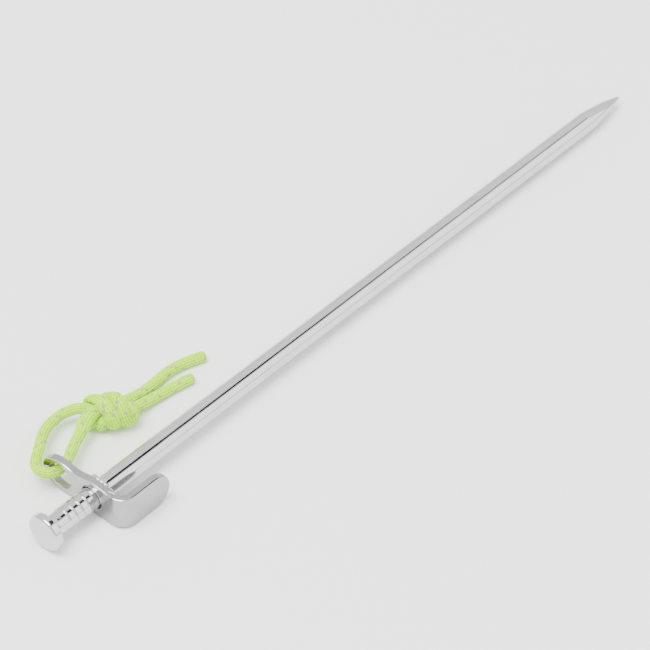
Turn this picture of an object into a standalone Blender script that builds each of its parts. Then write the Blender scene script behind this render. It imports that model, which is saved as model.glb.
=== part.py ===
"""Nail-type tent stake with a bent hook plate, an eye and a knotted cord lanyard.

Metres, +Z up. The stake lies at rest on the surface z = 0, head at -X and point at +X.
Stake coordinates run from the centre of the head's striking face: x along the shaft towards
the point, y towards the eye, z square to both. They are turned and lifted into the rest pose
by one empty. The lanyard is laid straight in world coordinates.
"""
import bmesh
import bpy
import math
from mathutils import Matrix, Vector
from mathutils.geometry import interpolate_bezier

MM = 0.001
GAP = 0.3 * MM

# Shaft: one forged bar with head, ringed neck and point.
LENGTH = 300.0 * MM
SHAFT_R = 4.0 * MM
HEAD_R = 7.1 * MM
HEAD_T = 3.0 * MM
HEAD_ROUND = 1.1 * MM
HEAD_BACK_ROUND = 0.4 * MM
NECK_R = 4.15 * MM
NECK_ROOT_R = 3.75 * MM
RING_R = 4.4 * MM
RING_HALF_WIDTH = 0.5 * MM
RING_FIRST_X = 9.8 * MM
RING_PITCH = 2.95 * MM
RING_COUNT = 4
NECK_END_X = 27.5 * MM
POINT_LENGTH = 19.0 * MM
POINT_R = 0.7 * MM

# Hook plate: a flat strip, drilled twice and bent once.
PLATE_T = 3.0 * MM
PLATE_X = 24.4 * MM            # middle of its thickness, along the shaft
PLATE_HALF_WIDTH = 7.3 * MM    # at the shaft
WAIST_HALF_WIDTH = 6.1 * MM    # between the shaft and the eye
EYE_HALF_WIDTH = 6.9 * MM
FLAP_HALF_WIDTH = 6.5 * MM
EYE_Y = 15.1 * MM
EYE_R = 5.0 * MM
EYE_END_Y = 23.6 * MM
SHAFT_HOLE_R = 4.7 * MM
FLAP_Y = -13.6 * MM            # middle of the flap's thickness
FLAP_END_X = 45.5 * MM
BEND_R = 3.9 * MM              # of the middle of the thickness
BEND_STEPS = 12
EDGE_ROUND = 0.5 * MM

# Weld bead on the point side of the plate.
BEAD_R = 5.7 * MM
BEAD_LENGTH = 2.1 * MM

# Lanyard: one cord, doubled through the eye and tied to itself.
CORD_R = 2.0 * MM
CORD_POINT_STEP = 2.0 * MM
KNOT_CENTRE = (-93.6, 20.9, 7.0)
KNOT_HALF_SIZE = (9.6, 7.2, 6.9)
KNOT_TURN = -38.0              # degrees about Z from +X to its long axis

STEEL = (0.78, 0.78, 0.79)
WELD_STEEL = (0.62, 0.62, 0.63)
CORD_GREEN = (0.60, 0.80, 0.18)

# The loop runs from the knot's outer side round the eye's outer bar, in through the eye
# and back to the knot. World millimetres.
LOOP_ROUTE = [
    (-99.4, 28.9, 7.1), (-101.6, 32.0, 6.0), (-104.8, 33.2, 5.0), (-107.8, 33.2, 4.9),
    (-111.5, 32.4, 5.4), (-115.4, 30.9, 5.9), (-119.0, 28.5, 6.4), (-122.0, 26.2, 6.8),
    (-124.6, 24.3, 7.1), (-127.1, 22.5, 7.4), (-129.3, 20.3, 7.6), (-130.2, 17.4, 7.8),
    (-129.3, 14.8, 7.8), (-127.2, 13.4, 7.5), (-124.6, 13.2, 7.3), (-121.8, 13.9, 7.1),
    (-118.6, 15.3, 6.8), (-115.2, 17.1, 6.5), (-111.0, 19.4, 6.3), (-107.3, 20.8, 6.6),
    (-105.0, 21.9, 7.2), (-103.5, 22.7, 7.7),
]
LONG_TAIL_ROUTE = [
    (-85.2, 22.1, 3.4), (-80.4, 21.6, 3.0), (-76.4, 21.4, 2.6), (-72.9, 21.6, 2.2),
    (-68.2, 22.0, 2.05), (-63.8, 22.2, 2.05), (-59.9, 21.7, 2.05), (-56.2, 20.8, 2.05),
    (-52.8, 19.5, 2.05), (-48.9, 17.8, 2.05),
]
SHORT_TAIL_ROUTE = [
    (-85.1, 17.5, 4.0), (-80.6, 17.1, 3.1), (-77.4, 16.7, 2.6), (-73.4, 16.4, 2.15),
    (-68.0, 15.5, 2.05), (-63.4, 14.6, 2.05), (-59.4, 13.6, 2.05),
]


# ---------------------------------------------------------------- scene and shared helpers

def clear_scene():
    """Remove every object of the start-up scene."""
    for found in list(bpy.data.objects):
        bpy.data.objects.remove(found, do_unlink=True)


def collection(name):
    made = bpy.data.collections.new(name)
    bpy.context.scene.collection.children.link(made)
    return made


def material(name, colour, roughness, metallic):
    made = bpy.data.materials.new(name)
    made.use_nodes = True
    shader = made.node_tree.nodes["Principled BSDF"]
    shader.inputs["Base Color"].default_value = (*colour, 1.0)
    shader.inputs["Roughness"].default_value = roughness
    shader.inputs["Metallic"].default_value = metallic
    return made


def add_object(name, data, finish, parent):
    made = bpy.data.objects.new(name, data)
    STAKE_PARTS.objects.link(made)
    made.data.materials.append(finish)
    made.parent = parent
    return made


def add_empty(name, location, rotation):
    made = bpy.data.objects.new(name, None)
    STAKE_PARTS.objects.link(made)
    made.location = location
    made.rotation_euler = rotation
    return made


def shade_round(mesh, angle_deg):
    """Smooth faces, with edges sharper than the angle left crisp."""
    mesh.shade_smooth()
    mesh.set_sharp_from_angle(angle=math.radians(angle_deg))


def rounded_corner(centre_x, centre_r, radius, start_deg, end_deg, steps):
    """Points of an arc in the (along shaft, radius) plane, both ends included."""
    points = []
    for step in range(steps + 1):
        angle = math.radians(start_deg + (end_deg - start_deg) * step / steps)
        points.append((centre_x + radius * math.cos(angle), centre_r + radius * math.sin(angle)))
    return points


def turned(name, outline, finish, parent, steps, closed):
    """Turn an outline of (distance along the shaft, radius) pairs about the shaft's axis.

    The outline is drawn in the XZ plane with the head uppermost, so it runs down its outer
    side, and the object is then laid over so that its own -Z points along the shaft.
    """
    mesh = bpy.data.meshes.new(name)
    verts = [(radius, 0.0, -along) for along, radius in outline]
    edges = [(i, i + 1) for i in range(len(verts) - 1)]
    if closed:
        edges.append((len(verts) - 1, 0))
    mesh.from_pydata(verts, edges, [])
    made = add_object(name, mesh, finish, parent)
    made.rotation_euler = (0.0, math.radians(-90.0), 0.0)
    screw = made.modifiers.new("turn", "SCREW")
    screw.angle = math.radians(360.0)
    screw.steps = steps
    screw.render_steps = steps
    screw.use_merge_vertices = True
    screw.merge_threshold = 0.00001
    screw.use_smooth_shade = True
    return made


# ---------------------------------------------------------------- rest pose

def rest_tilt():
    """Angle at which the plate's lower back edge and the point's shoulder both touch down."""
    drop = PLATE_HALF_WIDTH - SHAFT_R
    run = LENGTH - POINT_LENGTH - (PLATE_X + PLATE_T / 2)
    return math.atan2(drop, run)


def add_rest_pose():
    """Empty that carries the metal, with the whole metal's box centred on the origin."""
    tilt = rest_tilt()
    edge_x = PLATE_X + PLATE_T / 2
    lift = PLATE_HALF_WIDTH * math.cos(tilt) + edge_x * math.sin(tilt)
    head_overhang = (HEAD_R - HEAD_ROUND) * math.sin(tilt)
    middle_x = (LENGTH * math.cos(tilt) - head_overhang) / 2
    middle_y = (EYE_END_Y + FLAP_Y - PLATE_T / 2) / 2
    return add_empty("stake_rest", (-middle_x, -middle_y, lift), (0.0, tilt, 0.0))


# ---------------------------------------------------------------- metal parts

def shaft_outline():
    """Outline of the bar from the striking face's centre to the blunt point."""
    outline = [(0.0, 0.0)]
    outline += rounded_corner(HEAD_ROUND, HEAD_R - HEAD_ROUND, HEAD_ROUND, 180, 90, 6)
    outline += rounded_corner(HEAD_T - HEAD_BACK_ROUND, HEAD_R - HEAD_BACK_ROUND,
                              HEAD_BACK_ROUND, 90, 0, 3)
    outline.append((HEAD_T, NECK_ROOT_R + 0.6 * MM))
    outline.append((HEAD_T + 0.15 * MM, NECK_ROOT_R + 0.2 * MM))
    outline.append((HEAD_T + 0.6 * MM, NECK_ROOT_R))
    outline.append((RING_FIRST_X - 3.2 * MM, NECK_R - 0.1 * MM))
    crest = 0.22 * MM
    for ring in range(RING_COUNT):
        middle = RING_FIRST_X + ring * RING_PITCH
        outline.append((middle - RING_HALF_WIDTH, NECK_R - 0.05 * MM))
        outline.append((middle - crest, RING_R - 0.08 * MM))
        outline.append((middle, RING_R))
        outline.append((middle + crest, RING_R - 0.08 * MM))
        outline.append((middle + RING_HALF_WIDTH, NECK_R - 0.05 * MM))
    last_ring = RING_FIRST_X + (RING_COUNT - 1) * RING_PITCH
    outline.append((last_ring + RING_PITCH, NECK_R))
    outline.append((PLATE_X + PLATE_T / 2, NECK_R))
    outline.append((NECK_END_X, SHAFT_R))
    shoulder_x = LENGTH - POINT_LENGTH
    outline.append(((NECK_END_X + shoulder_x) / 2, SHAFT_R))
    outline.append((shoulder_x, SHAFT_R))
    steps = 9
    flank_end = LENGTH - POINT_R
    for step in range(1, steps + 1):
        share = step / steps
        swell = 0.45 * MM * math.sin(math.pi * share)
        radius = SHAFT_R + (POINT_R - SHAFT_R) * share + swell
        outline.append((shoulder_x + (flank_end - shoulder_x) * share, radius))
    outline += rounded_corner(LENGTH - POINT_R, 0.0, POINT_R, 90, 0, 4)[1:]
    outline[-1] = (LENGTH, 0.0)
    return outline


def add_shaft(parent, finish):
    return turned("stake_shaft", shaft_outline(), finish, parent, 48, False)


def bead_outline():
    """Cross-section of the fillet: flat on the plate, flat on the bar, bulging between."""
    start = PLATE_X + PLATE_T / 2 + GAP
    inner = SHAFT_R + GAP
    outline = [(start, inner + 0.15 * MM), (start, BEAD_R)]
    steps = 5
    for step in range(1, steps):
        angle = math.radians(90.0 * step / steps)
        along = start + BEAD_LENGTH * math.sin(angle)
        outline.append((along, inner + 0.15 * MM + (BEAD_R - inner) * math.cos(angle) * 0.9))
    outline.append((start + BEAD_LENGTH, inner + 0.05 * MM))
    outline.append((NECK_END_X, inner))
    return outline


def add_bead(parent, finish):
    return turned("weld_bead", bead_outline(), finish, parent, 32, True)


def bezier_ring(points, resolution):
    """Closed outline through (s, w) points, each with its tangent direction and reach."""
    ring = []
    count = len(points)
    for index in range(count):
        at, tangent, reach = points[index]
        nxt, next_tangent, next_reach = points[(index + 1) % count]
        first = Vector((*at, 0.0))
        second = first + Vector((*tangent, 0.0)) * reach
        fourth = Vector((*nxt, 0.0))
        third = fourth - Vector((*next_tangent, 0.0)) * next_reach
        ring += interpolate_bezier(first, second, third, fourth, resolution)[:-1]
    return ring


def blank_outline():
    """Outline of the flat blank: s runs from the eye (negative) to the flap, w across it.

    Half of it is drawn, from the eye's end to the flap's end, and the other half mirrors it.
    """
    flap_end = flat_length_to(FLAP_END_X)
    half = [
        ((-EYE_END_Y, 0.0), (0.0, 1.0), 4.2 * MM),
        ((-EYE_Y - 0.6 * MM, EYE_HALF_WIDTH), (1.0, 0.0), 3.4 * MM),
        ((-EYE_Y / 2 - 0.3 * MM, WAIST_HALF_WIDTH), (1.0, 0.04), 2.4 * MM),
        ((-0.5 * MM, PLATE_HALF_WIDTH), (1.0, 0.0), 2.6 * MM),
        ((9.0 * MM, FLAP_HALF_WIDTH + 0.1 * MM), (1.0, -0.03), 3.0 * MM),
        ((18.0 * MM, FLAP_HALF_WIDTH), (1.0, 0.0), 3.0 * MM),
        ((flap_end - FLAP_HALF_WIDTH, FLAP_HALF_WIDTH), (1.0, 0.0), 3.6 * MM),
        ((flap_end, 0.0), (0.0, -1.0), 3.6 * MM),
    ]
    other = [((at[0], -at[1]), (-way[0], way[1]), reach) for at, way, reach in half[1:-1]]
    return half + other[::-1]


def flat_length_to(x):
    """Distance along the blank from the shaft's axis to a place on the flap."""
    before_bend = -FLAP_Y - BEND_R
    return before_bend + BEND_R * math.pi / 2 + (x - PLATE_X - BEND_R)


def bend_blank(s, w):
    """Fold the flat blank: straight plate, quarter-circle bend, straight flap."""
    before_bend = -FLAP_Y - BEND_R
    bend_length = BEND_R * math.pi / 2
    if s <= before_bend:
        return (PLATE_X, -s, w)
    if s <= before_bend + bend_length:
        angle = (s - before_bend) / BEND_R
        return (PLATE_X + BEND_R * (1 - math.cos(angle)), -before_bend - BEND_R * math.sin(angle), w)
    return (PLATE_X + BEND_R + s - before_bend - bend_length, FLAP_Y, w)


def circle_points(centre_s, radius, count):
    points = []
    for index in range(count):
        angle = 2 * math.pi * index / count
        points.append((centre_s + radius * math.cos(angle), radius * math.sin(angle), 0.0))
    return points


def flat_blank():
    """Filled outline with the eye and the shaft hole left open, as a mesh."""
    curve = bpy.data.curves.new("blank", "CURVE")
    curve.dimensions = "2D"
    curve.fill_mode = "BOTH"
    rings = [
        bezier_ring(blank_outline(), 9),
        circle_points(-EYE_Y, EYE_R, 40),
        circle_points(0.0, SHAFT_HOLE_R, 36),
    ]
    for ring in rings:
        spline = curve.splines.new("POLY")
        spline.points.add(len(ring) - 1)
        for point, at in zip(spline.points, ring):
            point.co = (at[0], at[1], 0.0, 1.0)
        spline.use_cyclic_u = True
    holder = bpy.data.objects.new("blank", curve)
    STAKE_PARTS.objects.link(holder)
    filled = bpy.data.meshes.new_from_object(holder.evaluated_get(
        bpy.context.evaluated_depsgraph_get()))
    bpy.data.objects.remove(holder, do_unlink=True)
    return filled


def add_hook_plate(parent, finish):
    """Blank, crease lines across the bend, fold, thickness, rounded edges."""
    mesh = flat_blank()
    mesh.name = "hook_plate"
    shape = bmesh.new()
    shape.from_mesh(mesh)
    bmesh.ops.remove_doubles(shape, verts=shape.verts, dist=0.00002)
    bmesh.ops.dissolve_limit(shape, angle_limit=math.radians(0.5), verts=shape.verts,
                             edges=shape.edges)
    before_bend = -FLAP_Y - BEND_R
    for step in range(BEND_STEPS + 1):
        s = before_bend + BEND_R * math.pi / 2 * step / BEND_STEPS
        everything = shape.verts[:] + shape.edges[:] + shape.faces[:]
        bmesh.ops.bisect_plane(shape, geom=everything, dist=0.00001, plane_co=(s, 0.0, 0.0),
                               plane_no=(1.0, 0.0, 0.0))
    for vert in shape.verts:
        vert.co = bend_blank(vert.co.x, vert.co.y)
    bmesh.ops.recalc_face_normals(shape, faces=shape.faces)
    shape.to_mesh(mesh)
    shape.free()
    mesh.materials.clear()
    made = add_object("hook_plate", mesh, finish, parent)
    thicken = made.modifiers.new("thickness", "SOLIDIFY")
    thicken.thickness = PLATE_T
    thicken.offset = 0.0
    edges = made.modifiers.new("rounded_edges", "BEVEL")
    edges.width = EDGE_ROUND
    edges.segments = 2
    edges.use_clamp_overlap = False
    edges.limit_method = "ANGLE"
    edges.angle_limit = math.radians(50.0)
    shade_round(mesh, 40.0)
    return made


# ---------------------------------------------------------------- lanyard

def smooth_route(route_mm):
    """Evenly spaced points on a Catmull-Rom curve through the route's own points."""
    ends = [Vector(p) * MM for p in route_mm]
    ends = [ends[0] * 2 - ends[1]] + ends + [ends[-1] * 2 - ends[-2]]
    fine = []
    for i in range(1, len(ends) - 2):
        p0, p1, p2, p3 = ends[i - 1:i + 3]
        for step in range(20):
            t = step / 20
            fine.append(0.5 * (2 * p1 + (p2 - p0) * t + (2 * p0 - 5 * p1 + 4 * p2 - p3) * t ** 2
                               + (3 * p1 - p0 - 3 * p2 + p3) * t ** 3))
    fine.append(ends[-2])
    lengths = [0.0]
    for a, b in zip(fine, fine[1:]):
        lengths.append(lengths[-1] + (b - a).length)
    count = max(2, round(lengths[-1] / CORD_POINT_STEP))
    points = []
    k = 0
    for index in range(count + 1):
        goal = lengths[-1] * index / count
        while k < len(fine) - 2 and lengths[k + 1] < goal:
            k += 1
        share = (goal - lengths[k]) / (lengths[k + 1] - lengths[k])
        points.append(fine[k].lerp(fine[k + 1], share))
    return points


def add_cord(name, route_mm, pivot, finish):
    curve = bpy.data.curves.new(name, "CURVE")
    curve.dimensions = "3D"
    curve.bevel_depth = CORD_R
    curve.bevel_resolution = 2
    curve.use_fill_caps = True
    spline = curve.splines.new("POLY")
    points = smooth_route(route_mm)
    spline.points.add(len(points) - 1)
    for point, at in zip(spline.points, points):
        point.co = (*(at - pivot.location), 1.0)
    spline.use_smooth = True
    return add_object(name, curve, finish, pivot)


def add_knot(pivot, finish):
    """The tied knot's outer shape, one rounded lump resting on the ground."""
    mesh = bpy.data.meshes.new("lanyard_knot")
    shape = bmesh.new()
    bmesh.ops.create_uvsphere(shape, u_segments=24, v_segments=14, radius=1.0)
    size = Matrix.Diagonal([half * MM for half in KNOT_HALF_SIZE]).to_4x4()
    bmesh.ops.transform(shape, matrix=size, verts=shape.verts)
    shape.to_mesh(mesh)
    shape.free()
    made = add_object("lanyard_knot", mesh, finish, pivot)
    made.location = Vector(KNOT_CENTRE) * MM - pivot.location
    made.rotation_euler = (0.0, 0.0, math.radians(KNOT_TURN))
    mesh.shade_smooth()
    return made


def add_swing_pivot(rest):
    """Empty on the axis the lanyard swings about: upright, through the eye's outer bar."""
    bar_y = (EYE_Y + EYE_R + EYE_END_Y) / 2
    at = rest.matrix_basis @ Vector((PLATE_X, bar_y, 0.0))
    return add_empty("lanyard_swing", at, (0.0, 0.0, 0.0))


clear_scene()
STAKE_PARTS = collection("tent_stake")
plated = material("plated_steel", STEEL, 0.16, 1.0)
welded = material("weld_metal", WELD_STEEL, 0.35, 1.0)
woven = material("braided_cord", CORD_GREEN, 0.8, 0.0)

stake_rest = add_rest_pose()
add_shaft(stake_rest, plated)
add_hook_plate(stake_rest, plated)
add_bead(stake_rest, welded)

swing_pivot = add_swing_pivot(stake_rest)
add_cord("lanyard_loop", LOOP_ROUTE, swing_pivot, woven)
add_knot(swing_pivot, woven)
add_cord("lanyard_tail_long", LONG_TAIL_ROUTE, swing_pivot, woven)
add_cord("lanyard_tail_short", SHORT_TAIL_ROUTE, swing_pivot, woven)
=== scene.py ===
import math
import bmesh
import bpy
import numpy as np
from mathutils import Matrix, Vector


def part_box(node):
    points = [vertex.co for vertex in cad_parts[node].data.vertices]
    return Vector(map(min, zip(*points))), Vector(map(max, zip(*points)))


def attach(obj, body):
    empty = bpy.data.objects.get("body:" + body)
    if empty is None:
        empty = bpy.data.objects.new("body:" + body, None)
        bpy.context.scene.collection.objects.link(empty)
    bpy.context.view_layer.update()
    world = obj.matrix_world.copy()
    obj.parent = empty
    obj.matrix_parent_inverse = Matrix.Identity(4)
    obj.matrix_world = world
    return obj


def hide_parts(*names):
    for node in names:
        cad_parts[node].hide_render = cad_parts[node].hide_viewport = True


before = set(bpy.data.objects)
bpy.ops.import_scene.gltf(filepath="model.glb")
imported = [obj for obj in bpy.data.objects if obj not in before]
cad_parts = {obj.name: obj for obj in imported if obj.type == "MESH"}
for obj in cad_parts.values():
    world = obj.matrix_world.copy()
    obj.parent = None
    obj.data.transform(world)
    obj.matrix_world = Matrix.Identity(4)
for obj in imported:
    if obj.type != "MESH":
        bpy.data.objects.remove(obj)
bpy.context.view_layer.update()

# ------------------------------------------------------------------ camera
# A long lens on a stand beyond the head and to one side of it, looking down on the stake.
# No piece depends on it.

CAMERA_PLACE = (-0.7366, -0.7122, 0.9962)
CAMERA_AZIMUTH = -45.70        # degrees; 0 looks along +Y
CAMERA_ELEVATION = 44.40
CAMERA_ROLL = -2.11
CAMERA_LENS = 222.7            # millimetres on a 36 mm sensor

camera = bpy.data.objects.new("camera", bpy.data.cameras.new("camera"))
bpy.context.scene.collection.objects.link(camera)
camera.data.sensor_width = 36.0
camera.data.lens = CAMERA_LENS
camera.matrix_world = (
    Matrix.Translation(CAMERA_PLACE)
    @ Matrix.Rotation(math.radians(CAMERA_AZIMUTH), 4, "Z")
    @ Matrix.Rotation(math.radians(90.0 - CAMERA_ELEVATION), 4, "X")
    @ Matrix.Rotation(math.radians(CAMERA_ROLL), 4, "Z")
)
bpy.context.scene.camera = camera

# ------------------------------------------------------------------ lanyard
# One 4 mm braided polyester cord. It is doubled through the eye of the hook plate, both halves
# are tied together in one overhand knot, and the two cut ends are sealed by melting.
# It is laid out as one line from cut end to cut end and made into two runs that meet in the eye.

CORD_DIAMETER = 0.0040
CORD_R = CORD_DIAMETER / 2

# The knot's own directions: along it, up its face and out of its face.
KNOT_CENTRE = np.array([-0.09465, 0.02166, 0.0064])
KNOT_TURN = math.radians(-38.0)
KNOT_ALONG = np.array([math.cos(KNOT_TURN), math.sin(KNOT_TURN), 0.0])
KNOT_SIDE = np.array([-math.sin(KNOT_TURN), math.cos(KNOT_TURN), 0.0])
KNOT_UP = (KNOT_SIDE + np.array([0.0, 0.0, 1.0])) / math.sqrt(2.0)
KNOT_OUT = (np.array([0.0, 0.0, 1.0]) - KNOT_SIDE) / math.sqrt(2.0)
KNOT_AXES = np.array([KNOT_ALONG, KNOT_UP, KNOT_OUT])

SHORT_TAIL = [
    (-0.0594, 0.0136, 0.00205), (-0.0634, 0.0146, 0.00205), (-0.0680, 0.0155, 0.00205),
    (-0.0734, 0.0164, 0.00215), (-0.0774, 0.0167, 0.0026),
]
INNER_LEG = [
    (-0.1050, 0.0219, 0.0072), (-0.1073, 0.0208, 0.0066), (-0.1110, 0.0194, 0.0063),
    (-0.1152, 0.0171, 0.0065),
    (-0.1186, 0.0153, 0.0068), (-0.1218, 0.0139, 0.0071), (-0.1246, 0.0132, 0.0073),
]
OUTER_LEG = [
    (-0.1272, 0.0134, 0.0075), (-0.1293, 0.0148, 0.0078), (-0.1302, 0.0174, 0.0078),
    (-0.1293, 0.0203, 0.0076), (-0.1271, 0.0225, 0.0074), (-0.1246, 0.0243, 0.0071),
    (-0.1220, 0.0262, 0.0068), (-0.1190, 0.0285, 0.0064), (-0.1154, 0.0309, 0.0059),
    (-0.1115, 0.0324, 0.0054), (-0.1078, 0.0332, 0.0049), (-0.1048, 0.0332, 0.0050),
]
LONG_TAIL = [
    (-0.0764, 0.0214, 0.0026), (-0.0729, 0.0216, 0.0022), (-0.0682, 0.0220, 0.00205),
    (-0.0638, 0.0222, 0.00205), (-0.0599, 0.0217, 0.00205), (-0.0562, 0.0208, 0.00205),
    (-0.0528, 0.0195, 0.00205), (-0.0489, 0.0178, 0.00205),
]
# Inside the knot, in millimetres along its own directions. Each half goes in through the
# middle, turns back at the far end, wraps once round the outside and leaves through the middle.
INNER_IN_KNOT = [
    (-7.3, -1.6, 4.0), (-5.0, 1.2, 3.4), (-1.5, 2.2, 1.9), (3.0, 2.2, 1.2), (6.8, 2.0, 0.6),
    (9.0, -0.6, -0.2), (8.0, -3.6, -1.2), (5.6, -5.0, 0.6), (6.2, -2.9, 4.0), (6.2, -0.2, 5.0),
    (5.4, 2.4, 4.2), (3.8, 4.5, 2.2), (1.8, 5.4, -0.4), (0.4, 3.6, -3.6), (-0.4, 0.0, -5.0),
    (-1.4, -3.6, -3.6), (-2.6, -5.2, -0.8), (-3.4, -3.9, 1.8), (-1.0, -1.8, 2.0),
    (3.0, -1.4, 0.8), (7.0, -0.6, -1.2),
]
OUTER_IN_KNOT = [
    (-9.4, 3.2, -1.6), (-6.0, 2.4, -1.2), (-2.0, 1.6, -1.4), (2.5, 1.4, -1.6), (5.2, 0.4, -2.4),
    (6.0, -2.2, -3.6), (4.0, -4.6, -2.6), (1.6, -5.6, 0.2), (1.4, -3.2, 4.0), (1.5, -0.2, 5.0),
    (0.4, 2.4, 4.4), (-1.8, 4.6, 2.6), (-4.0, 5.5, 0.0), (-4.8, 3.6, -3.4), (-5.0, 0.0, -5.0),
    (-5.4, -3.4, -3.4), (-5.6, -4.6, -0.4), (-4.4, -3.2, 1.4), (-1.6, -1.4, -0.6),
    (3.0, -1.2, -2.2), (7.0, 1.2, -3.6),
]


def from_knot(points_mm):
    """Knot directions to places: the centre plus each amount along its direction."""
    return np.array(points_mm) * 0.001 @ KNOT_AXES + KNOT_CENTRE


CUTS_PER_SPAN = 24             # straight cuts from one route point to the next


def even_line(points, step):
    """Catmull-Rom curve through the points, read again at even steps of its length."""
    points = np.asarray(points, float)
    ends = 2 * points[[0, -1]] - points[[1, -2]]
    padded = np.vstack([ends[:1], points, ends[1:]])
    t = np.linspace(0.0, 1.0, CUTS_PER_SPAN, endpoint=False)[None, :, None]
    p0, p1, p2, p3 = (padded[k:len(padded) - 3 + k][:, None] for k in range(4))
    curve = 0.5 * (
        2 * p1 + (p2 - p0) * t + (2 * p0 - 5 * p1 + 4 * p2 - p3) * t**2
        + (3 * p1 - p0 - 3 * p2 + p3) * t**3
    )
    curve = np.vstack([curve.reshape(-1, 3), points[-1:]])
    reach = length_along(curve)
    places = np.linspace(0.0, reach[-1], int(round(reach[-1] / step)) + 1)
    return np.stack([np.interp(places, reach, curve[:, k]) for k in range(3)], axis=1)


def length_along(line):
    """Distance of each point from the first, summed from point to point."""
    return np.r_[0.0, np.cumsum(np.linalg.norm(np.diff(line, axis=0), axis=1))]


# How much of each fault one round of settling puts right.
PUSH_APART = 0.25
KEEP_STEP = 0.45
EASE_BEND = 0.05


def tighten(line, step, held, rounds, gap):
    """Rope settled in rounds: points closer than gap are pushed apart, neighbours are kept a
    step apart, bends are eased and nothing sinks below a cord's radius over the ground."""
    line = line.copy()
    first = line.copy()
    count = len(line)
    # Pairs this near along the cord belong to one strand, and aren't pushed apart.
    same_strand = int(math.ceil(1.3 * gap / step))
    one, other = np.triu_indices(count, same_strand + 1)
    for _ in range(rounds):
        apart = line[other] - line[one]
        far = np.linalg.norm(apart, axis=1)
        close = far < gap
        share = (gap - far[close]) / np.maximum(far[close], 1e-6) * PUSH_APART
        push = apart[close] * share[:, None]
        np.add.at(line, one[close], -push)
        np.add.at(line, other[close], push)
        run = np.diff(line, axis=0)
        length = np.linalg.norm(run, axis=1)[:, None]
        pull = (length - step) / length * KEEP_STEP * run
        line[:-1] += pull
        line[1:] -= pull
        line[1:-1] += EASE_BEND * ((line[:-2] + line[2:]) / 2 - line[1:-1])
        line[:, 2] = np.maximum(line[:, 2], CORD_R)
        line[held] = first[held]
    return line


ROPE_STEP = 0.0012
SETTLING_ROUNDS = 360
STRAND_GAP = 0.0035            # under a diameter, because tied cord squeezes
LOOP_HELD_TO = -0.1045         # x of the loop's end at the knot
TAILS_HELD_FROM = -0.0730      # x of the tails' start
rope_line = even_line(
    np.vstack([
        SHORT_TAIL, from_knot(INNER_IN_KNOT[::-1]), INNER_LEG,
        OUTER_LEG, from_knot(OUTER_IN_KNOT), LONG_TAIL,
    ]),
    ROPE_STEP,
)
# The loop and the tails are held where they lie while the knot between them settles.
held = (rope_line[:, 0] < LOOP_HELD_TO) | (rope_line[:, 0] > TAILS_HELD_FROM)
rope_line = tighten(rope_line, ROPE_STEP, held, SETTLING_ROUNDS, STRAND_GAP)

FINE_STEP = 0.00023
SMOOTHING_ROUNDS = 60
cord_line = even_line(rope_line, FINE_STEP)
for _ in range(SMOOTHING_ROUNDS):
    cord_line[1:-1] = (cord_line[:-2] + 2 * cord_line[1:-1] + cord_line[2:]) / 4
cord_reach = length_along(cord_line)


def carried_frame(line):
    """Tangent, and two directions square to it that turn no more than the line does: any
    smooth pair, unwound by the running sum of its twist. The guide only sets where the turn is
    counted from."""
    tangent = np.gradient(line, axis=0)
    tangent /= np.linalg.norm(tangent, axis=1)[:, None]
    guide = np.array([0.31, 0.22, 0.92])
    normal = guide - (tangent @ guide)[:, None] * tangent
    normal /= np.linalg.norm(normal, axis=1)[:, None]
    across = np.cross(tangent, normal)
    twist = np.arctan2(
        np.sum(normal[:-1] * across[1:], axis=1), np.sum(normal[:-1] * normal[1:], axis=1)
    )
    turn = np.r_[0.0, np.cumsum(twist)][:, None]
    return (
        tangent,
        np.cos(turn) * normal + np.sin(turn) * across,
        np.cos(turn) * across - np.sin(turn) * normal,
    )


YARNS = 12                     # running each way round the sheath
STITCH = 0.00130               # along the cord, from one crossing to the next
YARN_RISE = 0.00038
RIDGE = 0.55                   # share of the rise that is each yarn's own roundness
WEAVE = 0.55                   # and how far it climbs over and dips under the others
REFLECTIVE_ONE = 3             # which yarn of each set is the reflective one
REFLECTIVE_TWO = 9
REFLECTIVE_ABOVE = 0.62        # height at which its glass shows
SIDES = 72


def braid(reach, angle):
    """Sheath of two sets of yarns, each a round ridge on a helix, two over and two under.
    Gives the height above the core, the yarn's own tone and where a reflective yarn shows."""
    one = YARNS * angle / (2 * np.pi) + reach / STITCH
    two = YARNS * angle / (2 * np.pi) - reach / STITCH
    in_one, in_two = np.floor(one), np.floor(two)
    ridge_one = np.sqrt(np.clip(1 - (2 * (one - in_one) - 1) ** 2, 0, 1))
    ridge_two = np.sqrt(np.clip(1 - (2 * (two - in_two) - 1) ** 2, 0, 1))
    wave = np.sin((one + two) * np.pi / 2)
    high_one = ridge_one * RIDGE + WEAVE * wave
    high_two = ridge_two * RIDGE - WEAVE * wave
    over = high_one > high_two
    height = np.maximum(high_one, high_two)
    yarn = np.where(over, in_one % YARNS, 20 + in_two % YARNS)
    # A fixed scramble of the yarn's number, so that neighbours differ.
    tone = np.modf(np.abs(np.sin(yarn * 12.9898 + 4.1) * 43.7585))[0]
    reflective = (over & (in_one % YARNS == REFLECTIVE_ONE))
    reflective = reflective | (~over & (in_two % YARNS == REFLECTIVE_TWO))
    reflective = reflective & (height > REFLECTIVE_ABOVE)
    return height, tone, reflective.astype(float)


def grid_mesh(name, places, closed):
    """Quads between neighbouring points of a grid; the second direction may close on itself."""
    rows, sides = places.shape[:2]
    corner = np.arange(rows * sides).reshape(rows, sides)
    if closed:
        corner = np.hstack([corner, corner[:, :1]])
    quads = np.stack([corner[:-1, :-1], corner[:-1, 1:], corner[1:, 1:], corner[1:, :-1]], axis=-1)
    mesh = bpy.data.meshes.new(name)
    mesh.from_pydata(places.reshape(-1, 3), [], quads.reshape(-1, 4).tolist())
    mesh.shade_smooth()
    return mesh


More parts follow.
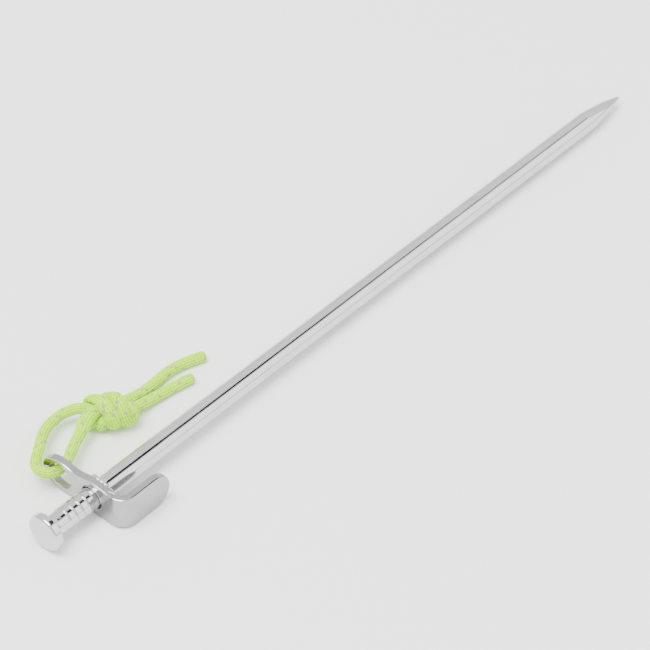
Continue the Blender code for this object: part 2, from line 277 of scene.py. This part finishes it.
def add_piece(name, mesh, finish, body):
    """Put a mesh in the scene as one piece that rides on a body."""
    piece = bpy.data.objects.new(name, mesh)
    bpy.context.scene.collection.objects.link(piece)
    mesh.materials.append(finish)
    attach(piece, body)
    return piece


def store(mesh, name, values):
    """One number for each vertex, for the material to read."""
    mesh.attributes.new(name, "FLOAT", "POINT").data.foreach_set("value", values.ravel())


tangent, normal, across = carried_frame(cord_line)

# Where the cord presses on itself it is flattened: the wraps against the middle of the knot,
# and most of all the half that dives under them, towards the knot's face.
WRAPS_REACH = 0.0115           # along the knot, from the middle of the wraps
WRAPS_MIDDLE = 0.001
WRAPS_FADE = 0.003
CORE_R = 0.0036                # strands nearer the knot's middle line than this aren't wraps
CORE_FADE = 0.0012
WRAP_PRESS = 0.24
DIVE_PLACE_MM = (-7.3, -1.6, 4.0)
DIVE_REACH = 0.0075
DIVE_PRESS = 0.26
PRESSED_WIDER = 1.15           # how much it widens for what it loses in thickness
from_middle = cord_line - KNOT_CENTRE
along_knot = from_middle @ KNOT_ALONG
outward = from_middle - along_knot[:, None] * KNOT_ALONG
off_middle = np.linalg.norm(outward, axis=1)
in_knot = np.clip((WRAPS_REACH - np.abs(along_knot - WRAPS_MIDDLE)) / WRAPS_FADE, 0, 1)
wrapping = np.clip((off_middle - CORE_R) / CORE_FADE, 0, 1) * in_knot
wrap_way = outward - np.sum(outward * tangent, axis=1)[:, None] * tangent
from_dive = np.linalg.norm(cord_line - from_knot([DIVE_PLACE_MM]), axis=1)
diving = np.sin(np.clip(1 - from_dive / DIVE_REACH, 0, 1) * np.pi / 2)
diving = np.where(cord_reach < cord_reach[-1] / 2, diving, 0.0)
dive_way = KNOT_OUT - (tangent @ KNOT_OUT)[:, None] * tangent
press_way = np.where(diving[:, None] > 0, dive_way, wrap_way)
press_way /= np.linalg.norm(press_way, axis=1)[:, None]
press_side = np.cross(tangent, press_way)
press = (WRAP_PRESS * wrapping * (diving == 0) + DIVE_PRESS * diving)[:, None, None]

turn = np.linspace(0, 2 * np.pi, SIDES, endpoint=False)
height, tone, reflective = braid(cord_reach[:, None], turn[None, :])

# Cut ends: the last of the cord is a melted dome with no braid left in it.
DOME_LENGTH = 0.0009
MELTED_LENGTH = 0.0016
MELTED_HEIGHT = 0.6            # of the braid's rise
DOME_TIP = 0.02                # share of the radius left at the very end, closed by a flat fan
OFF_THE_GROUND = 0.00005
to_end = np.minimum(cord_reach, cord_reach[-1] - cord_reach)
dome = np.sqrt(np.clip(1 - (1 - np.clip(to_end / DOME_LENGTH, 0, 1)) ** 2, 0, 1))
melted = np.clip(1 - to_end / MELTED_LENGTH, 0, 1)
rise = height + (MELTED_HEIGHT - height) * melted[:, None]
radius = (CORD_R - YARN_RISE + YARN_RISE * rise) * np.maximum(dome, DOME_TIP)[:, None]
round_cord = np.cos(turn)[None, :, None] * normal[:, None]
round_cord = round_cord + np.sin(turn)[None, :, None] * across[:, None]
offset = radius[..., None] * round_cord
sideways = np.sum(offset * press_side[:, None], axis=2, keepdims=True) * press_side[:, None]
inwards = np.sum(offset * press_way[:, None], axis=2, keepdims=True) * press_way[:, None]
cord_surface = cord_line[:, None] + offset + press * (PRESSED_WIDER * sideways - inwards)
cord_surface[..., 2] = np.maximum(cord_surface[..., 2], OFF_THE_GROUND)

LIME_DARK = (0.38, 0.78, 0.004)
LIME_LIGHT = (0.50, 0.90, 0.006)
LIME_WORN = (0.44, 0.84, 0.005)
# Painted shade: a dark colour laid into the gaps between the yarns, where their own shadow falls.
PAINTED_GAP_SHADE = (0.05, 0.10, 0.004)
REFLECTIVE_GREY = (0.30, 0.36, 0.22)
MELTED_LIME = (0.38, 0.60, 0.03)


def cord_material():
    """Lime polyester yarns, each a little lighter or darker, silver-grey reflective ones, and
    painted shade in the gaps.
    """
    made = bpy.data.materials.new("lime_braid")
    made.use_nodes = True
    nodes, links = made.node_tree.nodes, made.node_tree.links
    shader = nodes["Principled BSDF"]

    def mix(factor, colour_a, colour_b):
        node = nodes.new("ShaderNodeMix")
        node.data_type = "RGBA"
        links.new(factor, node.inputs[0])
        for socket, colour in ((node.inputs[6], colour_a), (node.inputs[7], colour_b)):
            if isinstance(colour, tuple):
                socket.default_value = (*colour, 1)
            else:
                links.new(colour, socket)
        return node.outputs[2]

    def stored(name):
        node = nodes.new("ShaderNodeAttribute")
        node.attribute_name = name
        return node.outputs["Fac"]

    def spots(scale, detail, low, high):
        place = nodes.new("ShaderNodeTexCoord")
        noise = nodes.new("ShaderNodeTexNoise")
        noise.inputs["Scale"].default_value = scale
        noise.inputs["Detail"].default_value = detail
        links.new(place.outputs["Object"], noise.inputs["Vector"])
        ramp = nodes.new("ShaderNodeMapRange")
        ramp.inputs["From Min"].default_value = low
        ramp.inputs["From Max"].default_value = high
        links.new(noise.outputs["Fac"], ramp.inputs["Value"])
        return ramp.outputs["Result"]

    yarn = mix(stored("tone"), LIME_DARK, LIME_LIGHT)
    worn = mix(spots(260.0, 3.0, 0.35, 0.75), yarn, LIME_WORN)
    # The gaps between the yarns are darkened with painted shade.
    gap_shaded = mix(stored("clear_of_gap_shade"), PAINTED_GAP_SHADE, worn)
    flecked = mix(stored("reflective"), gap_shaded, REFLECTIVE_GREY)
    sealed = mix(stored("melted"), flecked, MELTED_LIME)
    links.new(sealed, shader.inputs["Base Color"])
    links.new(spots(2600.0, 2.0, -0.6, 1.1), shader.inputs["Roughness"])
    shader.inputs["Sheen Weight"].default_value = 0.02
    shader.inputs["Sheen Roughness"].default_value = 0.5
    shader.inputs["Specular IOR Level"].default_value = 0.12
    bump = nodes.new("ShaderNodeBump")
    bump.inputs["Strength"].default_value = 0.35
    bump.inputs["Distance"].default_value = 0.0001
    links.new(spots(5200.0, 2.0, 0.2, 0.8), bump.inputs["Height"])
    links.new(bump.outputs["Normal"], shader.inputs["Normal"])
    return made


# Painted shade: below this height the yarns' colour goes over to the dark gap colour.
GAP_HEIGHT = 0.15              # of the braid's rise, where the shade between yarns is deepest
GAP_FADE = 0.5


def add_run(name, rows, finish):
    """Some rows of the cord's surface as an open tube, with what its material reads."""
    places = cord_surface[rows]
    mesh = grid_mesh(name, places, True)
    store(mesh, "tone", tone[rows])
    # How far each point is clear of the painted shade in the gaps between the yarns.
    store(mesh, "clear_of_gap_shade", np.clip((height[rows] - GAP_HEIGHT) / GAP_FADE, 0, 1))
    store(mesh, "reflective", reflective[rows])
    store(mesh, "melted", np.broadcast_to(melted[rows][:, None], tone[rows].shape).copy())
    return add_piece(name, mesh, finish, "lanyard")


def join_seam(piece):
    """Merge points that lie on each other and turn every face outwards."""
    shape = bmesh.new()
    shape.from_mesh(piece.data)
    bmesh.ops.remove_doubles(shape, verts=shape.verts, dist=0.0000005)
    bmesh.ops.recalc_face_normals(shape, faces=shape.faces)
    shape.to_mesh(piece.data)
    shape.free()


def close_ends(piece):
    """Fill the open ring at each end of a tube and turn every face outwards."""
    shape = bmesh.new()
    shape.from_mesh(piece.data)
    rims = [edge for edge in shape.edges if edge.is_boundary]
    bmesh.ops.holes_fill(shape, edges=rims, sides=SIDES + 1)
    bmesh.ops.recalc_face_normals(shape, faces=shape.faces)
    shape.to_mesh(piece.data)
    shape.free()


lime_braid = cord_material()
EYE_CROSSING = np.array([-0.1259, 0.01335, 0.0074])
in_eye = int(np.argmin(np.linalg.norm(cord_line - EYE_CROSSING, axis=1)))
inner_run = add_run("cord_inner_run", slice(0, in_eye + 1), lime_braid)
outer_run = add_run("cord_outer_run", slice(in_eye, len(cord_line)), lime_braid)
for run, line in ((inner_run, cord_line[in_eye::-1]), (outer_run, cord_line[in_eye:])):
    close_ends(run)
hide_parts("lanyard_tail_short", "lanyard_knot")
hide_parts("lanyard_tail_long", "lanyard_loop")

# ------------------------------------------------------------------ bar
# One drawn steel bar, 8 mm across, with an upset head, four rolled rings on its neck and a
# ground point. It is plated with the rest of the metal after welding.

BAR_LENGTH = 0.300
BAR_R = 0.0040
HEAD_R = 0.0071
HEAD_T = 0.0030
HEAD_ROUND_R = 0.0011          # of its struck edge
HEAD_BACK_ROUND_R = 0.0004
HEAD_FILLET_R = 0.0007
FILLET_FOOT_R = 0.0045         # bar's radius where the fillet under the head starts
UNDERCUT_R = 0.0038
NECK_R = 0.00415
NECK_ROOT_R = 0.0041
NECK_END = 0.0275
BORE_R = 0.00467               # the neck fills the plate's hole
RING_CREST_R = 0.0044
RING_WIDTH = 0.0010
RING_FIRST = 0.0098
RING_PITCH = 0.00295
RINGS = 4
POINT_LENGTH = 0.019
POINT_R = 0.0007
POINT_SWELL = 0.00045
PLATE_FRONT = 0.0229
PLATE_BACK = 0.0259
PLATE_HALF_WIDTH = 0.0073

# The stake lies on the plate's lower back edge and on the shoulder of its point.
LIE_TILT = math.atan2(PLATE_HALF_WIDTH - BAR_R, BAR_LENGTH - POINT_LENGTH - PLATE_BACK)
LIE_HEIGHT = PLATE_HALF_WIDTH * math.cos(LIE_TILT) + PLATE_BACK * math.sin(LIE_TILT)
shaft_low, shaft_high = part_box("stake_shaft")
FACE_X = shaft_low[0] + (HEAD_R - HEAD_ROUND_R) * math.sin(LIE_TILT)
AXIS_Y = (shaft_low[1] + shaft_high[1]) / 2


def lay_down(places):
    """Stake directions (along the bar, towards the eye, up) to places: a turn by the lie's tilt
    about the second direction, then a move to the striking face's centre."""
    along, side, up = places[..., 0], places[..., 1], places[..., 2]
    cos, sin = math.cos(LIE_TILT), math.sin(LIE_TILT)
    return np.stack([
        along * cos + up * sin + FACE_X,
        side + AXIS_Y,
        up * cos - along * sin + LIE_HEIGHT,
    ], axis=-1)


def arc(centre_x, centre_r, radius, start, end, count):
    """Corner of an outline: a circle's arc, angles in degrees from +x towards +r."""
    angle = np.radians(np.linspace(start, end, count))
    x = centre_x + radius * np.cos(angle)
    return np.stack([x, centre_r + radius * np.sin(angle)], axis=1)


def eased(xs, rs, count):
    """Outline stretch that runs smoothly through a few points, by cosine steps between them."""
    x = np.linspace(xs[0], xs[-1], count)
    low = np.clip(np.searchsorted(xs, x, side="right") - 1, 0, len(xs) - 2)
    xs, rs = np.array(xs), np.array(rs)
    share = (x - xs[low]) / (xs[low + 1] - xs[low])
    radius = rs[low] + (rs[low + 1] - rs[low]) * (1 - np.cos(np.pi * share)) / 2
    return np.stack([x, radius], axis=1)


def ring_outline():
    """Four narrow ridges on a plain neck: each a raised cosine one ring's width long."""
    start, end = RING_FIRST - RING_PITCH / 2, RING_FIRST + (RINGS - 0.5) * RING_PITCH
    x = np.linspace(start, end, 240)
    from_ridge = (x - RING_FIRST + RING_PITCH / 2) % RING_PITCH - RING_PITCH / 2
    swell = (1 + np.cos(2 * np.pi * np.clip(from_ridge / RING_WIDTH, -0.5, 0.5))) / 2
    return np.stack([x, NECK_ROOT_R + (RING_CREST_R - NECK_ROOT_R) * swell], axis=1)


def point_outline():
    """Ground point: a straight taper with a slight swell, ending in a small ball."""
    share = np.linspace(0, 1, 40)
    x = BAR_LENGTH - POINT_LENGTH + (POINT_LENGTH - POINT_R) * share
    radius = BAR_R + (POINT_R - BAR_R) * share + POINT_SWELL * np.sin(np.pi * share)
    tip = arc(BAR_LENGTH - POINT_R, 0.0, POINT_R, 80, 0, 8)
    return np.vstack([np.stack([x, radius], axis=1), tip])


face_r = np.linspace(0.0, HEAD_R - HEAD_ROUND_R, 14)[:-1]
back_r = np.linspace(HEAD_R - HEAD_BACK_ROUND_R, FILLET_FOOT_R, 8)[1:]
rings_start = RING_FIRST - RING_PITCH / 2 - 0.0004
plain_x = np.linspace(0.0310, BAR_LENGTH - POINT_LENGTH - 0.001, 60)
bar_outline = np.vstack([
    np.stack([np.zeros(13), face_r], axis=1),
    arc(HEAD_ROUND_R, HEAD_R - HEAD_ROUND_R, HEAD_ROUND_R, 180, 90, 14),
    arc(HEAD_T - HEAD_BACK_ROUND_R, HEAD_R - HEAD_BACK_ROUND_R, HEAD_BACK_ROUND_R, 90, 0, 8),
    np.stack([np.full(7, HEAD_T), back_r], axis=1),
    arc(HEAD_T + HEAD_FILLET_R, FILLET_FOOT_R, HEAD_FILLET_R, 180, 270, 8)[1:],
    eased([HEAD_T + 0.0008, 0.0058, rings_start], [UNDERCUT_R, 0.00405, NECK_ROOT_R], 24),
    ring_outline(),
    eased([0.0205, 0.0217, PLATE_FRONT + 0.0002], [NECK_ROOT_R, NECK_R, NECK_R], 18),
    eased(
        [PLATE_FRONT + 0.0004, PLATE_FRONT + 0.0006, PLATE_BACK + 0.0002],
        [NECK_R, BORE_R, BORE_R], 16,
    ),
    eased([NECK_END, 0.0300], [BAR_R + 0.00004, BAR_R], 6),
    np.stack([plain_x, np.full(60, BAR_R)], axis=1),
    point_outline(),
])
# A pinhole is left at each end of the axis, and closed by a flat fan.
PINHOLE_R = 0.000002
bar_outline[:, 1] = np.maximum(bar_outline[:, 1], PINHOLE_R)

# Forging leaves the head a little out of round, and drawing leaves the bar faintly wavy.
BAR_SIDES = 144
HEAD_OUT_OF_ROUND = 0.006
HEAD_LUMPS = 0.003
BAR_WAVE = 0.000010
around = np.linspace(0, 2 * np.pi, BAR_SIDES, endpoint=False)
bar_x = np.broadcast_to(bar_outline[:, :1], (len(bar_outline), BAR_SIDES))
bar_r = np.broadcast_to(bar_outline[:, 1:], bar_x.shape)
head_share = np.clip((HEAD_T + 0.0006 - bar_x) / 0.001, 0, 1)
uneven = HEAD_OUT_OF_ROUND * np.cos(2 * around + 0.7) + HEAD_LUMPS * np.cos(5 * around)
bar_r = np.minimum(bar_r * (1 + head_share * uneven), HEAD_R)
wavy_stretch = (bar_x > 0.031) & (bar_x < 0.27)
bar_r = bar_r + BAR_WAVE * np.sin(bar_x * 410.0 + np.cos(around) * 1.7) * wavy_stretch
bar_places = np.stack([bar_x, bar_r * np.cos(around), bar_r * np.sin(around)], axis=-1)
bar_places = lay_down(bar_places)


FILM_SHADE = 0.90              # how much of the colour shows where the film is thickest
GRAIN_DEPTH = 0.00002
BORE_DULLNESS = 0.4


def metal_material(name, colour, roughness, drawn, grain, bore=None):
    """Bright plating on steel: faint lines along the bar where it was drawn, small pits, and a
    cloudy film that dulls it in places. A bore's centre and radius make its wall dull."""
    made = bpy.data.materials.new(name)
    made.use_nodes = True
    nodes, links = made.node_tree.nodes, made.node_tree.links
    shader = nodes["Principled BSDF"]
    shader.inputs["Metallic"].default_value = 1.0
    place = nodes.new("ShaderNodeTexCoord")

    def noise(scale, detail, stretch):
        mapping = nodes.new("ShaderNodeMapping")
        mapping.inputs["Rotation"].default_value = (0, -LIE_TILT, 0)
        mapping.inputs["Scale"].default_value = stretch
        links.new(place.outputs["Object"], mapping.inputs["Vector"])
        node = nodes.new("ShaderNodeTexNoise")
        node.inputs["Scale"].default_value = scale
        node.inputs["Detail"].default_value = detail
        links.new(mapping.outputs["Vector"], node.inputs["Vector"])
        return node.outputs["Fac"]

    def ranged(value, low, high, out_low, out_high):
        node = nodes.new("ShaderNodeMapRange")
        node.inputs["From Min"].default_value = low
        node.inputs["From Max"].default_value = high
        node.inputs["To Min"].default_value = out_low
        node.inputs["To Max"].default_value = out_high
        links.new(value, node.inputs["Value"])
        return node.outputs["Result"]

    def sum_of(first, second):
        node = nodes.new("ShaderNodeMath")
        node.operation = "ADD"
        links.new(first, node.inputs[0])
        links.new(second, node.inputs[1])
        return node.outputs[0]

    cloud = noise(160.0, 4.0, (0.5, 1, 1))
    lines = noise(900.0, 3.0, drawn)
    pits = noise(2400.0, 2.0, (1, 1, 1))
    tint = nodes.new("ShaderNodeMix")
    tint.data_type = "RGBA"
    tint.inputs[6].default_value = (*[channel * FILM_SHADE for channel in colour], 1)
    tint.inputs[7].default_value = (*colour, 1)
    links.new(ranged(cloud, 0.3, 0.6, 0, 1), tint.inputs[0])
    links.new(tint.outputs[2], shader.inputs["Base Color"])
    rough = sum_of(
        ranged(cloud, 0.35, 0.7, roughness * 0.7, roughness * 1.3),
        ranged(lines, 0.5, 0.8, 0.0, roughness * 0.8),
    )
    if bore:
        # A punched hole's sheared wall stays dull: all that is within its radius of its axis.
        centre, radius = bore
        across_axis = nodes.new("ShaderNodeVectorMath")
        across_axis.operation = "MULTIPLY"
        across_axis.inputs[1].default_value = (0, 1, 1)
        links.new(place.outputs["Object"], across_axis.inputs[0])
        from_axis = nodes.new("ShaderNodeVectorMath")
        from_axis.operation = "DISTANCE"
        from_axis.inputs[1].default_value = (0, centre[1], centre[2])
        links.new(across_axis.outputs["Vector"], from_axis.inputs[0])
        wall = ranged(from_axis.outputs["Value"], radius, radius - 0.00005, 0.0, BORE_DULLNESS)
        rough = sum_of(rough, wall)
    links.new(rough, shader.inputs["Roughness"])
    bump = nodes.new("ShaderNodeBump")
    bump.inputs["Strength"].default_value = grain
    bump.inputs["Distance"].default_value = GRAIN_DEPTH
    links.new(sum_of(lines, ranged(pits, 0.62, 0.75, 0.0, 0.8)), bump.inputs["Height"])
    links.new(bump.outputs["Normal"], shader.inputs["Normal"])
    return made


drawn_nickel = metal_material("drawn_nickel", (0.60, 0.60, 0.605), 0.09, (0.02, 1, 1), 0.10)
bar_mesh = grid_mesh("nail_bar", bar_places, True)
bar = add_piece("nail_bar", bar_mesh, drawn_nickel, "stake")
close_ends(bar)
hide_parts("stake_shaft")

# ------------------------------------------------------------------ hook plate
# A 3 mm steel strip, punched for the bar and the eye, its end folded back as the hook's flap.
# It is pressed, tumbled and plated, so its edges are soft and its faces faintly clouded.

EYE_Y = 0.0151
EYE_R = 0.0050
EYE_PLACE = lay_down(np.array([(PLATE_FRONT + PLATE_BACK) / 2, EYE_Y, 0.0]))
# The plate's nickel is darker than the bar's: painted shade for how dark its faces look under the
# light. Its rougher, clouded finish is its own.
pressed_nickel_painted_dark = metal_material(
    "pressed_nickel_painted_dark", (0.385, 0.385, 0.39), 0.14, (0.5, 0.5, 0.5), 0.12,
    bore=(EYE_PLACE, EYE_R + 0.0001),
)
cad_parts["hook_plate"].material_slots[0].material = pressed_nickel_painted_dark

# ------------------------------------------------------------------ weld
# One run of weld in the corner between the plate's far face and the bar, plated over. Its
# ripples are left as they set.

WELD_R = 0.0060
WELD_LENGTH = 0.0027
WELD_INTO_BAR = 0.0001         # how far it bites into the neck, and stands off the plate
weld_turn = np.linspace(0, 2 * np.pi, 180, endpoint=False)
weld_round = np.linspace(0, 2 * np.pi, 48, endpoint=False)[:, None]
# A ring round the bar whose section is a teardrop, high at the plate and low along the bar,
# times ripples: the sum of a few waves round the ring, some of them twisting with the section.
ripple = 1 + 0.11 * np.sin(15 * weld_turn) + 0.10 * np.sin(7 * weld_turn + 1.0)
ripple = ripple + 0.07 * np.sin(29 * weld_turn) * np.sin(2 * weld_round)
ripple = ripple + 0.06 * np.sin(11 * weld_turn + 3 * weld_round)
weld_along = WELD_LENGTH * (0.5 + 0.5 * np.cos(weld_round)) * ripple
weld_along = PLATE_BACK + WELD_INTO_BAR + weld_along
weld_swell = np.clip((0.5 + 0.5 * np.sin(weld_round)) * ripple, 0, 1.25)
weld_swell = weld_swell * (1 - 0.45 * np.cos(weld_round).clip(0, 1))
weld_radius = NECK_R - WELD_INTO_BAR + (WELD_R - NECK_R) * weld_swell
weld_places = np.stack(
    [weld_along, weld_radius * np.cos(weld_turn), weld_radius * np.sin(weld_turn)], axis=-1,
)
weld_places = lay_down(weld_places)
weld_steel = metal_material("weld_steel", (0.60, 0.60, 0.61), 0.24, (0.5, 0.5, 0.5), 0.45)
weld_mesh = grid_mesh("weld_run", np.concatenate([weld_places, weld_places[:1]]), True)
weld = add_piece("weld_run", weld_mesh, weld_steel, "stake")
join_seam(weld)
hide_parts("weld_bead")

# ------------------------------------------------------------------ floor and light
# A matt white sheet on the ground, a soft sky, two softboxes, and one black card high above
# that the plating mirrors as a dark line along the bar.

FLOOR_REACH = 8.0
PAPER_WHITE = (0.93, 0.93, 0.93)


def matt(name, colour, roughness):
    """A plain dull finish for what stands round the object."""
    made = bpy.data.materials.new(name)
    made.use_nodes = True
    shader = made.node_tree.nodes["Principled BSDF"]
    shader.inputs["Base Color"].default_value = (*colour, 1)
    shader.inputs["Roughness"].default_value = roughness
    return made


def add_card(name, corners, finish):
    """One flat four-cornered sheet that isn't part of the object."""
    mesh = bpy.data.meshes.new(name)
    mesh.from_pydata(corners, [], [(0, 1, 2, 3)])
    mesh.materials.append(finish)
    card = bpy.data.objects.new(name, mesh)
    bpy.context.scene.collection.objects.link(card)


add_card("floor", [
    (-FLOOR_REACH, -FLOOR_REACH, 0), (FLOOR_REACH, -FLOOR_REACH, 0),
    (FLOOR_REACH, FLOOR_REACH, 0), (-FLOOR_REACH, FLOOR_REACH, 0),
], matt("white_paper", PAPER_WHITE, 0.9))

# The sky is brightest overhead, and a little darker towards the horizon.
SKY_AT_HORIZON = 1.55
SKY_OVERHEAD = 1.8
world = bpy.data.worlds.new("studio")
world.use_nodes = True
sky_nodes, sky_links = world.node_tree.nodes, world.node_tree.links
sky_place = sky_nodes.new("ShaderNodeTexCoord")
sky_split = sky_nodes.new("ShaderNodeSeparateXYZ")
sky_range = sky_nodes.new("ShaderNodeMapRange")
sky_links.new(sky_place.outputs["Generated"], sky_split.inputs["Vector"])
sky_links.new(sky_split.outputs["Z"], sky_range.inputs["Value"])
sky_range.inputs["From Min"].default_value = 0.0
sky_range.inputs["From Max"].default_value = 1.0
sky_range.inputs["To Min"].default_value = SKY_AT_HORIZON
sky_range.inputs["To Max"].default_value = SKY_OVERHEAD
sky_nodes["Background"].inputs["Color"].default_value = (1, 1, 1, 1)
sky_links.new(sky_range.outputs["Result"], sky_nodes["Background"].inputs["Strength"])
bpy.context.scene.world = world


def add_softbox(name, place, size, brightness):
    """Square soft light that faces the stake, as bright as brightness times a white card."""
    light = bpy.data.lights.new(name, "AREA")
    light.shape = "SQUARE"
    light.size = size
    light.energy = brightness * math.pi * size * size
    lamp = bpy.data.objects.new(name, light)
    bpy.context.scene.collection.objects.link(lamp)
    lamp.location = place
    lamp.rotation_euler = (-Vector(place)).to_track_quat("-Z", "Y").to_euler()


add_softbox("near_softbox", (0.75, -1.05, 0.85), 1.5, 1.5)
add_softbox("top_softbox", (-0.55, 0.10, 1.50), 1.0, 14.0)

# The card lies out beyond the point, and its far end is the narrow one.
FLAG_HEIGHT = 3.0
add_card("flag", [
    (1.20, -1.90, FLAG_HEIGHT), (2.60, -1.05, FLAG_HEIGHT),
    (2.60, -0.38, FLAG_HEIGHT), (1.20, 0.30, FLAG_HEIGHT),
], matt("flag", (0.01, 0.01, 0.01), 1.0))
